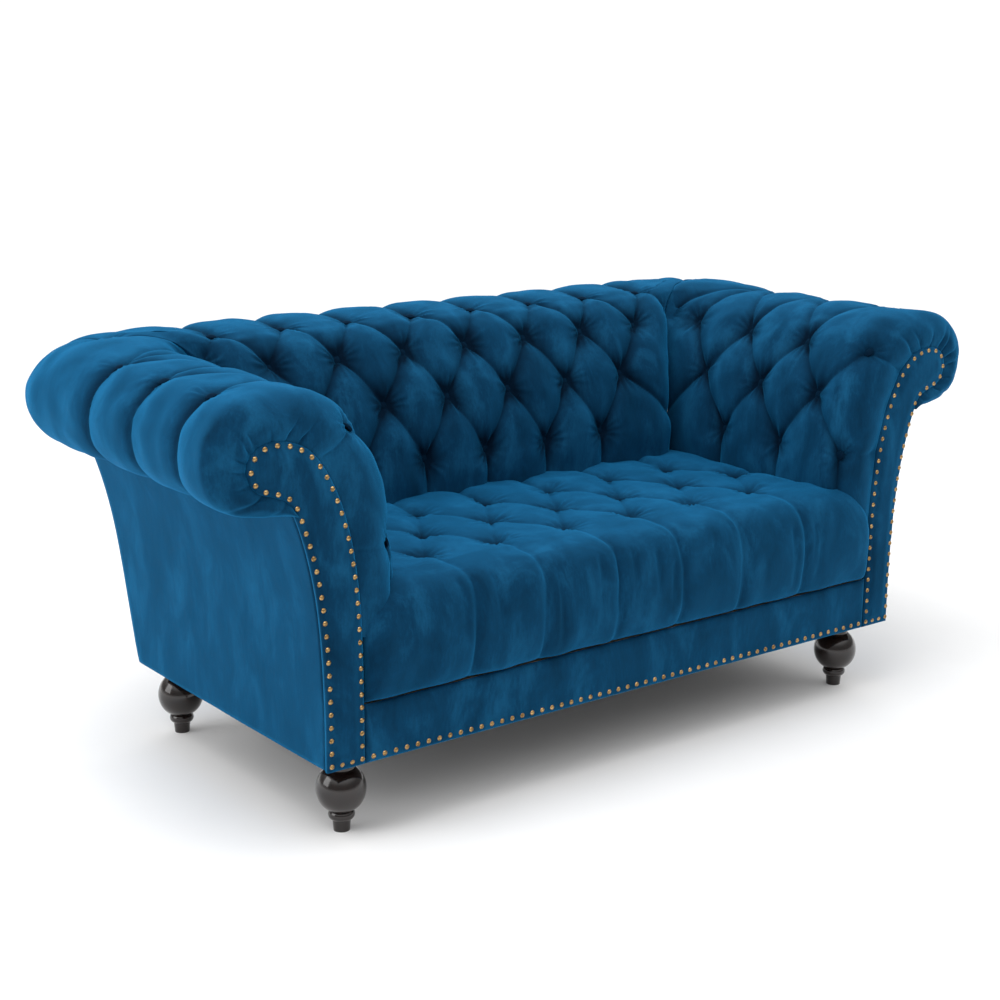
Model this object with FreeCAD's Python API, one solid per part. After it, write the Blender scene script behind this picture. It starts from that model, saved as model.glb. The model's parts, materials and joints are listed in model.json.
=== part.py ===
import FreeCAD, Part
import math
import os

# A two-seat Chesterfield sofa: scroll arms, deep-buttoned velvet on a hardwood
# frame, a fixed sprung seat, brass nails round the arm fronts and along the
# front rail, and four turned bun legs.
# Millimetres, +Z up, X across the seat, the front towards -Y.
# Depths below are measured from the front face of the arms, and every part is
# moved to the sofa's own origin, under the middle of its box, when it is saved.

V = FreeCAD.Vector
os.makedirs("parts", exist_ok=True)

# ---- driving dimensions ----------------------------------------------------
HALF_WIDTH = 792.0          # centre line to the outside of an arm roll
ROLL_TOP = 714.0            # floor to the top of the rolls
SEAT_TOP = 404.0            # floor to the top of the seat
SEAT_BULGE = 20.0           # the seat front stands this far before the arms
BACK_REAR = 773.0           # arm fronts to the rear of the back roll
SEAT_HALF = 474.0           # centre line to the arm padding
SEAT_DEPTH = 417.0          # arm fronts to the back padding, pressed in
FRAME_BOTTOM = 131.0        # floor to the underside of the frame
RAIL_TOP = 222.0            # floor to the top of the front and back rails
FRONT_SHIFT = (SEAT_BULGE - BACK_REAR) / 2.0

COVER = 2.0                 # velvet with its lining
LINING = 3.0                # stiff lining that the arm and back foam lies on
WEB = 1.5                   # jute webbing
PANEL = 4.0                 # board-backed velvet of the outside panels
FACING = 10.0               # padded facing board on an arm front
BOARD = 22.0                # thickness of a scroll board
THIN_BOARD = 16.0           # thickness of the back rail
RAIL = 24.0                 # thickness of a rail
REACH = 900.0               # further than any part of the sofa
PAD_FOOT = 330.0            # the arm and back padding ends at this height

LEG_FRONT = (556.0, 69.0)   # x and depth of a front leg
LEG_REAR = (558.0, 590.0)
LEG_TOP = 130.0
BOLT_R = 4.0
BOLT_UP = 38.0              # how far a leg's bolt stands up into the frame
BOLT_DOWN = 30.0

NAIL_PITCH = 20.5
NAIL_R = 4.1
NAIL_RISE = 2.4
SHANK_R = 0.8
SHANK_LENGTH = 14.0
NAIL_INSET = 6.0            # facing edge to the line of nails
RAIL_NAIL_Z = 140.0

BUTTON_R = 8.5
BUTTON_THICK = 6.0
POCKET_R = 10.0
POCKET_CLEAR = 20.0         # how far a pocket's cutter stands outside the padding
BACK_POCKET = 26.0          # depth of a button's pocket in the back and the arms
ARM_POCKET = 24.0
CREST_POCKET = 14.0         # on top of the rolls
BACK_PITCH = 137.0          # between the buttons of one row of the back
ARM_PITCH = 147.0           # between the buttons of one row of an arm
ARM_FIRST = 28.0            # arm fronts to the first button
CREST_SPOT = (728, 704)     # place of the buttons on top of an arm
CREST_OFFSET = 0.69


# ---- outlines ---------------------------------------------------------------
def spline(points):
    """A smooth curve through points given as (across, up)."""
    curve = Part.BSplineCurve()
    curve.interpolate([V(a, b, 0) for a, b in points])
    return curve


def shifted(curve, distance, samples=28):
    """The curve moved sideways, to its left where distance is positive."""
    moved = []
    first, last = curve.FirstParameter, curve.LastParameter
    for i in range(samples + 1):
        t = first + (last - first) * i / samples
        along = curve.tangent(t)[0]
        left = V(-along.y, along.x, 0)
        moved.append(curve.value(t) + left * distance)
    result = Part.BSplineCurve()
    result.interpolate(moved)
    return result


def stretch(curve, start, end):
    """The edge of the curve between the points nearest to start and end."""
    a = curve.parameter(V(start[0], start[1], 0))
    b = curve.parameter(V(end[0], end[1], 0))
    return curve.toShape(a, b)


def ring(first, second):
    """A face between two edges that run the same way."""
    a0, a1 = first.Vertexes[0].Point, first.Vertexes[-1].Point
    b0, b1 = second.Vertexes[0].Point, second.Vertexes[-1].Point
    edges = [first, Part.makeLine(a1, b1), second, Part.makeLine(b0, a0)]
    return Part.Face(Part.Wire(Part.__sortEdges__(edges)))


def closed(edge):
    """A face bounded by an edge and the straight line between its ends."""
    a, b = edge.Vertexes[0].Point, edge.Vertexes[-1].Point
    return Part.Face(Part.Wire([edge, Part.makeLine(b, a)]))


# The line of nails round an arm's scroll, from the inner foot of the arm,
# up, over the scroll and down to the outer foot.
SCROLL = [(560, 130), (560, 225), (561, 320), (566, 405), (578, 485), (602, 560),
          (640, 618), (688, 639), (725, 630), (736, 606), (724, 581), (699, 571),
          (673, 558), (655, 522), (637, 462), (624, 392), (617, 315), (614, 225),
          (614, 130)]
# The padding of an arm, from behind the seat, over the roll to its underside.
ARM_PAD = [(SEAT_HALF + 5, PAD_FOOT), (SEAT_HALF, 400), (475, 465), (493, 567), (544, 660),
           (592, 695), (642, 709), (690, ROLL_TOP - 3), (735, 702), (769, 678),
           (789, 645), (HALF_WIDTH, 610), (779, 566), (747, 543), (705, 533), (666, 531)]
# The line under that padding, from the same foot to the same end.
ARM_CORE_ENDS = ((558, PAD_FOOT), (661, 534))
# The padding of the back as (depth, height), and the line under it.
BACK_PAD = [(428, PAD_FOOT), (422, 400), (419, 466), (443, 573), (489, 663), (532, 699),
            (585, 711), (642, ROLL_TOP), (700, 704), (745, 677), (768, 638),
            (BACK_REAR, 598), (757, 560), (733, 541), (710, 534)]
BACK_CORE = [(480, PAD_FOOT), (477, 400), (477, 466), (497, 562), (534, 640), (583, 676),
             (640, 682), (695, 668), (724, 634), (722, 598), (706, 570), (700, 536)]
# Outside face of the back, as (depth, height) at its foot and its top.
BACK_FOOT = (618.0, 130.0)
BACK_HEAD = (708.0, 530.0)
# The arm and back padding meet on an upright plane through these plan points.
MITRE_IN = (SEAT_HALF, 445.0)
MITRE_OUT = (HALF_WIDTH, 745.0)
CORNER_R = 100.0            # rear corners of the rolls, seen from above

nail_line = spline(SCROLL)
facing_line = shifted(nail_line, NAIL_INSET, 60)
board_line = shifted(nail_line, NAIL_INSET - PANEL, 60)
arm_pad = spline(ARM_PAD)
back_pad = spline(BACK_PAD)
back_core = spline(BACK_CORE)


# ---- placing ----------------------------------------------------------------
def along_depth(face, front, rear):
    """A section drawn as (x, height), carried from one depth to another."""
    upright = face.copy()
    upright.rotate(V(0, 0, 0), V(1, 0, 0), 90)
    upright.translate(V(0, front, 0))
    return upright.extrude(V(0, rear - front, 0))


def along_width(face, left, right):
    """A section drawn as (depth, height), carried from one x to another."""
    upright = face.copy()
    upright.rotate(V(0, 0, 0), V(1, 0, 0), 90)
    upright.rotate(V(0, 0, 0), V(0, 0, 1), 90)
    upright.translate(V(left, 0, 0))
    return upright.extrude(V(right - left, 0, 0))


def block(x0, x1, y0, y1, z0, z1):
    return Part.makeBox(x1 - x0, y1 - y0, z1 - z0, V(x0, y0, z0))


def right_above(height):
    """All the space on the right-hand side above a height."""
    return block(0, REACH, 0, REACH, height, REACH)


def polygon(points):
    return Part.Face(Part.makePolygon([V(a, b, 0) for a, b in points + points[:1]]))


def mirrored(shape):
    return shape.mirror(V(0, 0, 0), V(1, 0, 0))


def group(solids):
    """Separate solids kept in one part."""
    return Part.makeCompound([s for shape in solids for s in shape.Solids])


def save(name, shape):
    placed = shape.copy()
    placed.translate(V(0, FRONT_SHIFT, 0))
    placed.exportStep("parts/" + name + ".step")


def save_pair(name, right):
    """A part of the right arm, and its mirror image in the left arm."""
    save(name + "_right", right)
    save(name + "_left", mirrored(right))


def mitre_wedge(inset):
    """The space behind the right mitre plane, moved back by inset."""
    across, deep = MITRE_OUT[0] - MITRE_IN[0], MITRE_OUT[1] - MITRE_IN[1]
    length = math.hypot(across, deep)
    ux, uy = across / length, deep / length
    nx, ny = -uy * inset, ux * inset
    reach = 900.0           # beyond the sofa on every side
    near = (MITRE_IN[0] - ux * reach + nx, MITRE_IN[1] - uy * reach + ny)
    far = (MITRE_OUT[0] + ux * reach + nx, MITRE_OUT[1] + uy * reach + ny)
    side = (far[0] - 2 * reach, far[1])
    foot = (near[0] - 2 * reach, near[1])
    base = polygon([near, far, side, foot])
    return base.extrude(V(0, 0, 2 * ROLL_TOP))


def plan_prism(inset):
    """Everything inside the rounded rear corners of the rolls, seen from above."""
    x = HALF_WIDTH - inset
    rear = BACK_REAR - inset
    r = CORNER_R - inset
    box = block(-x, x, -100, rear, 0, 2 * ROLL_TOP)
    corners = [e for e in box.Edges
               if abs(e.Vertexes[0].Z - e.Vertexes[-1].Z) > 1
               and e.Vertexes[0].Y > 0]
    return box.makeFillet(r, corners)


GAP = 0.2                   # clear space kept between neighbouring pads
arm_limit = mitre_wedge(-GAP)
back_space = mitre_wedge(GAP)


# ---- buttons ----------------------------------------------------------------
def surface_spot(curve, near):
    """Point on a pad outline nearest to near, and the way into the pad."""
    t = curve.parameter(V(near[0], near[1], 0))
    along = curve.tangent(t)[0]
    return curve.value(t), V(along.y, -along.x, 0)


def stud(point, inward, radius, start, length):
    return Part.makeCylinder(radius, length, point + inward * start, inward)


def domed(radius, edge, height):
    """A round disc with a domed top, standing on the origin."""
    rise = height - edge
    dome_r = (radius ** 2 + rise ** 2) / (2 * rise)
    lean = math.asin(radius / dome_r) / 2
    halfway = V(dome_r * math.sin(lean), 0, height - dome_r + dome_r * math.cos(lean))
    top = V(0, 0, height)
    rim = V(radius, 0, edge)
    outline = [Part.makeLine(V(0, 0, 0), V(radius, 0, 0)), Part.makeLine(V(radius, 0, 0), rim),
               Part.Arc(rim, halfway, top).toShape(), Part.makeLine(top, V(0, 0, 0))]
    return Part.Face(Part.Wire(outline)).revolve(V(0, 0, 0), V(0, 0, 1), 360)


def covered_button(point, inward, depth):
    """A domed button at the bottom of its pocket."""
    button = domed(BUTTON_R, BUTTON_THICK / 2, BUTTON_THICK)
    turn = FreeCAD.Rotation(V(0, 0, 1), inward * -1)
    button.Placement = FreeCAD.Placement(point + inward * (depth - 0.1), turn)
    return button


def tuft(point, inward, depth):
    pocket = stud(point, inward, POCKET_R, -POCKET_CLEAR, POCKET_CLEAR + depth)
    return pocket, covered_button(point, inward, depth)


def back_tufts():
    rows = [((419, 466), 2, 0.0, BACK_POCKET), ((443, 573), 3, 0.5, BACK_POCKET),
            ((489, 663), 3, 0.0, BACK_POCKET), ((578, 710), 4, 0.5, CREST_POCKET)]
    for near, reach, offset, depth in rows:
        spot, inward = surface_spot(back_pad, near)
        for i in range(-reach, reach + 1):
            x = (i + offset) * BACK_PITCH
            if abs(x) > reach * BACK_PITCH:
                continue
            yield tuft(V(x, spot.x, spot.y), V(0, inward.x, inward.y), depth)


def arm_tufts():
    rows = [((475, 463), 0.0, 3, ARM_POCKET), ((493, 567), 0.5, 3, ARM_POCKET),
            ((544, 660), 0.0, 4, ARM_POCKET), (CREST_SPOT, CREST_OFFSET, 3, CREST_POCKET)]
    for near, offset, count, depth in rows:
        spot, inward = surface_spot(arm_pad, near)
        for i in range(count):
            y = ARM_FIRST + (i + offset) * ARM_PITCH
            yield tuft(V(spot.x, y, spot.y), V(inward.x, 0, inward.y), depth)


# ---- padding ----------------------------------------------------------------
def padding(pad, core_edge, extrude, keep):
    """Cover and foam of one roll: keep trims each to its own space."""
    foam_line = shifted(pad, -COVER, 60)
    foam = keep(extrude(ring(foam_line.toShape(), core_edge)), COVER)
    cover = keep(extrude(ring(pad.toShape(), foam_line.toShape())), 0.0)
    return cover, foam


def arm_padding():
    core = stretch(board_line, *ARM_CORE_ENDS)
    rear_prism = plan_prism(0.0)

    def keep(solid, inset):
        return solid.cut(arm_limit).common(rear_prism if inset == 0 else plan_prism(inset))

    return padding(arm_pad, core, lambda f: along_depth(f, FACING + 1.0, BACK_REAR), keep)


def back_padding():
    between = back_space.common(mirrored(back_space))

    def keep(solid, inset):
        return solid.common(between).common(plan_prism(inset))

    return padding(back_pad, back_core.toShape(),
                   lambda f: along_width(f, -HALF_WIDTH, HALF_WIDTH), keep)


def pocketed(shape, tufts):
    return shape.cut([pocket for pocket, button in tufts])


arm_tuft_list = list(arm_tufts())
back_tuft_list = list(back_tufts())
arm_cover, arm_foam = arm_padding()
save_pair("arm_cover", pocketed(arm_cover, arm_tuft_list))
save_pair("arm_foam", pocketed(arm_foam, arm_tuft_list))
save_pair("arm_buttons", group([button for pocket, button in arm_tuft_list]))

back_cover, back_foam = back_padding()
save("back_cover", pocketed(back_cover, back_tuft_list))
save("back_foam", pocketed(back_foam, back_tuft_list))
save("back_buttons", group([button for pocket, button in back_tuft_list]))


# ---- seat -------------------------------------------------------------------
LOWER_HALF = 552.0          # the seat below the arm padding
LOWER_DEPTH = 476.0
SEAT_FOOT = 226.0
SEAT_BED = 234.0            # top of the springs and lining


def seat_solid(inset):
    """The seat, made smaller by inset everywhere but on its underside."""
    front = [(2 + inset, SEAT_FOOT), (-13 + inset, 240), (-SEAT_BULGE + inset, 290),
             (-15 + inset, 345), (4 + inset * 0.7, 385 - inset * 0.7),
             (42, SEAT_TOP - 4 - inset), (110, SEAT_TOP - inset)]
    nose = spline(front).toShape()
    rear = SEAT_DEPTH - inset
    top = SEAT_TOP - inset
    corners = [(110, top), (rear, top), (rear, SEAT_BED), (FACING, SEAT_BED),
               (FACING, SEAT_FOOT), (2 + inset, SEAT_FOOT)]
    lines = [Part.makeLine(V(*a, 0), V(*b, 0)) for a, b in zip(corners, corners[1:])]
    section = Part.Face(Part.Wire(Part.__sortEdges__([nose] + lines)))
    upper = along_width(section, -SEAT_HALF + 8 + inset, SEAT_HALF - 8 - inset)
    lower = along_width(section, -LOWER_HALF + inset, LOWER_HALF - inset)
    lower = lower.common(block(-600, 600, -100, 600, 0, PAD_FOOT - 2 - inset))
    shelf = block(-LOWER_HALF + inset, LOWER_HALF - inset, SEAT_DEPTH - 60,
                  LOWER_DEPTH - inset, SEAT_BED, PAD_FOOT - 2 - inset)
    return upper.fuse([lower, shelf]).removeSplitter()


seat_foam = seat_solid(COVER)
save("seat_foam", seat_foam)
save("seat_cover", seat_solid(0.0).cut(seat_foam))

BACK_RAIL_Y = 600.5         # arm fronts to the back rail
SPRING_Z = RAIL_TOP + 2.6
SPRING_R = 1.9
SPRING_COUNT = 9
SPRING_GAP = 112.0
SPRING_FRONT = 22.0
SPRING_RUNS = 26
SPRING_REAR = 608.5
SPRING_STEP = (SPRING_REAR - SPRING_FRONT) / SPRING_RUNS
SPRING_HALF = 22.0
TIE_R = 1.4                 # paper-wrapped wires that tie the springs together
TIE_HALF = 500.0
TIE_Y = (165.0, 297.0, 429.0)


def sinuous_spring(x):
    """A zigzag wire from rail to rail, its runs joined by half circles."""
    r = SPRING_STEP / 2
    side = 1
    y = SPRING_FRONT
    edges = [Part.makeLine(V(x, y, SPRING_Z), V(x + SPRING_HALF, y, SPRING_Z))]
    for i in range(SPRING_RUNS):
        end = V(x + side * SPRING_HALF, y, SPRING_Z)
        bulge = V(x + side * (SPRING_HALF + r), y + r, SPRING_Z)
        turn = V(x + side * SPRING_HALF, y + SPRING_STEP, SPRING_Z)
        edges.append(Part.Arc(end, bulge, turn).toShape())
        y += SPRING_STEP
        reach = -side * SPRING_HALF if i < SPRING_RUNS - 1 else 0.0
        edges.append(Part.makeLine(turn, V(x + reach, y, SPRING_Z)))
        side = -side
    path = Part.Wire(edges)
    profile = Part.Wire(Part.makeCircle(SPRING_R, V(x, SPRING_FRONT, SPRING_Z), V(1, 0, 0)))
    return path.makePipeShell([profile], True, False)


def spring_clip(x, y, outward):
    """A small steel clip that holds a spring's end down on a rail."""
    plate = block(x - 26, x + 26, y - 5, y + 5, SPRING_Z + 2.1, SPRING_Z + 3.6)
    tail = block(x - 26, x + 26, y + outward * 6 - 1, y + outward * 6 + 1,
                 RAIL_TOP, SPRING_Z + 3.6)
    return plate.fuse(tail).removeSplitter()


spring_xs = [(i - (SPRING_COUNT - 1) / 2) * SPRING_GAP for i in range(SPRING_COUNT)]
save("seat_springs", group([sinuous_spring(x) for x in spring_xs]))
clips = [spring_clip(x, SPRING_FRONT, 1) for x in spring_xs]
clips += [spring_clip(x, SPRING_REAR, -1) for x in spring_xs]
save("spring_clips", group(clips))
ties = [Part.makeCylinder(TIE_R, 2 * TIE_HALF, V(-TIE_HALF, y, SPRING_Z + TIE_R + 2.1), V(1, 0, 0))
        for y in TIE_Y]
save("spring_ties", group(ties))
save("seat_lining", block(-LOWER_HALF, LOWER_HALF, 38, LOWER_DEPTH, SEAT_BED - 3.6, SEAT_BED - 0.2))


# ---- frame ------------------------------------------------------------------
SIDE_IN = 575.0
SIDE_OUT = 603.0
BLOCK_TOP = 181.0
SIDE_TOP = 201.0
REAR_BOARD_Y = 560.0
REAR_BOARD = 18.0           # thickness of an arm's rear board
JOINT = 2.0                 # clear space at the end of a rail
STRETCHER_HALF = 22.0
STRETCHER_Z = (150.0, 190.0)
BLOCK_SIDE = 88.0           # a corner block's two long sides
BLOCK_CUT = 30.0
TACK_RAIL_Z = (300.0, 345.0)
FRONT_RAIL_HALF = 556.0
COVER_HALF = 553.0          # half the width of the front rail's cover


def leg_bolts(grow):
    """The four hanger bolts, or the holes for them where grow is more than 0."""
    bolts = []
    for x, y in (LEG_FRONT, LEG_REAR):
        for side in (-1, 1):
            foot = V(side * x, y, LEG_TOP - BOLT_DOWN - grow)
            bolts.append(Part.makeCylinder(BOLT_R + grow, BOLT_DOWN + BOLT_UP + 2 * grow, foot))
    return bolts


def tee_nuts(grow):
    nuts = []
    for x, y in (LEG_FRONT, LEG_REAR):
        for side in (-1, 1):
            top = V(side * x, y, LEG_TOP + BOLT_UP - 14 - grow)
            barrel = Part.makeCylinder(5.6 + grow, 12 + 2 * grow, top)
            flange = Part.makeCylinder(10.0 + grow, 1.5 + 2 * grow, top)
            nuts.append(barrel.fuse(flange).removeSplitter())
    return nuts


bolt_holes = leg_bolts(0.3)
nut_holes = tee_nuts(0.1)
save("leg_bolts", group(leg_bolts(0.0)))
save("tee_nuts", group([nut.cut(bolt_holes) for nut in tee_nuts(0.0)]))

front_rail = block(-FRONT_RAIL_HALF, FRONT_RAIL_HALF, FACING, FACING + RAIL, FRAME_BOTTOM, RAIL_TOP)
rail_half = SIDE_IN - JOINT
back_rail_rear = BACK_RAIL_Y + THIN_BOARD
save("back_rail", block(-rail_half, rail_half, BACK_RAIL_Y, back_rail_rear, FRAME_BOTTOM, RAIL_TOP))
side_rail_rear = BACK_RAIL_Y - JOINT
save_pair("side_rail", block(SIDE_IN, SIDE_OUT, FACING + RAIL, side_rail_rear,
                             FRAME_BOTTOM, SIDE_TOP))
save("centre_stretcher", block(-STRETCHER_HALF, STRETCHER_HALF, FACING + RAIL, BACK_RAIL_Y,
                               *STRETCHER_Z))


def corner_block(x, y, inward):
    """A glued block in a corner of the base, its inner corner cut off."""
    far_x, far_y = x - BLOCK_SIDE, y + inward * BLOCK_SIDE
    cut_x, cut_y = x - BLOCK_CUT, y + inward * BLOCK_CUT
    base = polygon([(x, y), (x, far_y), (cut_x, far_y), (far_x, cut_y), (far_x, y)])
    base.translate(V(0, 0, FRAME_BOTTOM))
    return base.extrude(V(0, 0, BLOCK_TOP - FRAME_BOTTOM))


blocks = []
for front_y, inward in ((FACING + RAIL, 1), (BACK_RAIL_Y, -1)):
    one = corner_block(SIDE_IN, front_y, inward)
    blocks += [one, mirrored(one)]
save("corner_blocks", group([b.cut(bolt_holes + nut_holes) for b in blocks]))

scroll_board = along_depth(closed(board_line.toShape()), FACING, FACING + BOARD)
scroll_board = scroll_board.common(right_above(FRAME_BOTTOM))
rear_board = along_depth(closed(board_line.toShape()), REAR_BOARD_Y, REAR_BOARD_Y + REAR_BOARD)
save_pair("arm_rear_board", rear_board.common(right_above(SIDE_TOP)))

TOP_RAIL_R = 27.0
TOP_RAIL_SPOT = (692.0, 602.0)      # x and height of the rail inside an arm's roll
ARM_TACK_X = (565.0, 585.0)
top_rail_start = V(TOP_RAIL_SPOT[0], FACING + BOARD, TOP_RAIL_SPOT[1])
save_pair("arm_top_rail", Part.makeCylinder(TOP_RAIL_R, REAR_BOARD_Y - FACING - BOARD,
                                            top_rail_start, V(0, 1, 0)))
save_pair("arm_tack_rail", block(*ARM_TACK_X, FACING + BOARD, REAR_BOARD_Y, *TACK_RAIL_Z))

POST_FOOT = (584.0, 612.0)
POST_LEAN = 87.0
LOG_Z = 592.0
post_face = polygon([(POST_FOOT[0], RAIL_TOP), (POST_FOOT[1], RAIL_TOP),
                     (POST_FOOT[1] + POST_LEAN, LOG_Z), (POST_FOOT[0] + POST_LEAN, LOG_Z)])
post = along_width(post_face, SIDE_IN, SIDE_OUT)
post_heel = block(SIDE_IN, SIDE_OUT, BACK_RAIL_Y, back_rail_rear, FRAME_BOTTOM, RAIL_TOP)
save_pair("back_post", post.fuse(post_heel).removeSplitter())
LOG_R = 34.0                # the rounded rail inside the back's roll
LOG_HALF = 630.0
LOG_SPOT = (668.0, 622.0)           # depth and height of its middle
BACK_LINED_HALF = 506.0
BACK_RIB_REAR = 630.0
BACK_TACK_Y = (486.0, 506.0)
log = Part.makeCylinder(LOG_R, 2 * LOG_HALF, V(-LOG_HALF, *LOG_SPOT), V(1, 0, 0))
log = log.common(block(-REACH, REACH, 0, REACH, LOG_Z, REACH))
save("back_top_rail", log)
back_tack = block(-BACK_LINED_HALF, BACK_LINED_HALF, *BACK_TACK_Y, *TACK_RAIL_Z)
save("back_tack_rail", back_tack)

# Linings and webbing under the arm and back padding.
WEB_WIDTH = 50.0
ARM_WEB_Y = (80.0, 230.0, 380.0)
BACK_WEB_X = (-400.0, -200.0, 0.0, 200.0, 400.0)
RIB_X = (-500.0, -168.0, 168.0, 500.0)
RIB_HALF = 9.0
arm_core = stretch(board_line, *ARM_CORE_ENDS)
arm_lined = stretch(shifted(board_line, -LINING, 60), (561, PAD_FOOT), (658, 536))
arm_webbed = stretch(shifted(board_line, -LINING - WEB, 60), (562.5, PAD_FOOT), (656, 537))
save_pair("arm_lining", along_depth(ring(arm_core, arm_lined), FACING + BOARD, REAR_BOARD_Y))
arm_strip = ring(arm_lined, arm_webbed)
save_pair("arm_webbing", group([along_depth(arm_strip, y, y + WEB_WIDTH) for y in ARM_WEB_Y]))

back_lined = shifted(back_core, -LINING, 60)
back_webbed = shifted(back_core, -LINING - WEB, 60)
back_strip = ring(back_lined.toShape(), back_webbed.toShape())
save("back_lining", along_width(ring(back_core.toShape(), back_lined.toShape()),
                                -BACK_LINED_HALF, BACK_LINED_HALF))
save("back_webbing", group([along_width(back_strip, x - WEB_WIDTH / 2, x + WEB_WIDTH / 2)
                            for x in BACK_WEB_X]))


def back_rib(x):
    """A plywood rib that gives the back its outline, notched for the rails."""
    line = back_webbed.toShape()
    foot, head = line.Vertexes[0].Point, line.Vertexes[-1].Point
    if foot.y > head.y:
        foot, head = head, foot
    corners = [head, V(BACK_RIB_REAR, RAIL_TOP, 0), V(BACK_RAIL_Y, RAIL_TOP, 0),
               V(foot.x, TACK_RAIL_Z[0], 0), foot]
    lines = [Part.makeLine(a, b) for a, b in zip(corners, corners[1:])]
    face = Part.Face(Part.Wire(Part.__sortEdges__([line] + lines)))
    return along_width(face, x - RIB_HALF, x + RIB_HALF).cut([log, back_tack])


save("back_ribs", group([back_rib(x) for x in RIB_X]))


# ---- facings, panels and nails ----------------------------------------------
def points_along(edge, pitch):
    """Points evenly spaced along an edge, near to the pitch given."""
    count = max(2, round(edge.Length / pitch))
    curve = edge.Curve
    first, last = edge.ParameterRange
    return [curve.value(curve.parameterAtDistance(edge.Length * i / count, first))
            for i in range(count + 1)]


def nail_shank(x, z, grow):
    return Part.makeCylinder(SHANK_R + grow, SHANK_LENGTH + grow, V(x, 0, z), V(0, 1, 0))


def nail(x, z):
    """A domed head on the velvet with its shank going into the wood."""
    dome_r = (NAIL_R ** 2 + NAIL_RISE ** 2) / (2 * NAIL_RISE)
    ball = Part.makeSphere(dome_r, V(x, dome_r - NAIL_RISE, z))
    head = ball.common(Part.makeCylinder(NAIL_R, NAIL_RISE, V(x, 0, z), V(0, -1, 0)))
    return head.fuse(nail_shank(x, z, 0.0)).removeSplitter()


nail_edge = stretch(nail_line, (560, RAIL_NAIL_Z), (614, RAIL_NAIL_Z))
arm_spots = [(p.x, p.y) for p in points_along(nail_edge, NAIL_PITCH)]
arm_spots += [(578.0, RAIL_NAIL_Z), (596.0, RAIL_NAIL_Z)]
RAIL_NAIL_HALF = 540.0
rail_count = round(2 * RAIL_NAIL_HALF / NAIL_PITCH)
rail_spots = [(RAIL_NAIL_HALF * (2 * i / rail_count - 1), RAIL_NAIL_Z) for i in range(rail_count + 1)]
save_pair("arm_nails", group([nail(x, z) for x, z in arm_spots]))
save("rail_nails", group([nail(x, z) for x, z in rail_spots]))
arm_holes = [nail_shank(x, z, 0.1) for x, z in arm_spots]
rail_holes = [nail_shank(x, z, 0.1) for x, z in rail_spots]

facing = along_depth(closed(facing_line.toShape()), 0.0, FACING)
save_pair("arm_facing", facing.cut(arm_holes))
save_pair("arm_front_board", scroll_board.cut(arm_holes))
save("front_rail", front_rail.cut(rail_holes))
rail_cover = block(-COVER_HALF, COVER_HALF, 0, FACING, LEG_TOP, RAIL_TOP + COVER)
save("front_rail_cover", rail_cover.cut(rail_holes))

outer_foot, outer_top = (620, 131), (663, 527)
panel_outer = stretch(facing_line, outer_foot, outer_top)
panel_inner = stretch(shifted(nail_line, NAIL_INSET - PANEL + 0.2, 60), (616, 131), (659, 528))
outside_arm = along_depth(ring(panel_outer, panel_inner), FACING, BACK_REAR)


def back_slab(shift, thickness):
    """A slab lying along the sloping outside of the back."""
    foot, head = BACK_FOOT, BACK_HEAD
    corners = [(foot[0] + shift, foot[1]), (head[0] + shift, head[1]),
               (head[0] + shift + thickness, head[1]), (foot[0] + shift + thickness, foot[1])]
    return along_width(polygon(corners), -REACH, REACH)


outside_arm = outside_arm.cut(back_slab(-GAP, REACH))
save_pair("outside_arm_panel", outside_arm.common(right_above(LEG_TOP)))
right_edge = stretch(panel_inner.Curve, (615.8, 131), (658.8, 527))
low, high = right_edge.Vertexes[-1].Point, right_edge.Vertexes[0].Point
if low.y > high.y:
    low, high = high, low
left_edge = mirrored(right_edge)
outline = Part.Wire(Part.__sortEdges__([
    right_edge, Part.makeLine(high, V(-high.x, high.y, 0)), left_edge,
    Part.makeLine(V(-low.x, low.y, 0), low)]))
back_opening = along_depth(Part.Face(outline), REAR_BOARD_Y, REACH)
save("outside_back_panel", back_slab(0.0, PANEL).common(back_opening))

DUST_HALF = 612.0
DUST_Y = (12.0, 612.0)
dust = block(-DUST_HALF, DUST_HALF, *DUST_Y, LEG_TOP, FRAME_BOTTOM - 0.1)
save("dust_cover", dust.cut(leg_bolts(0.5)))


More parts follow.
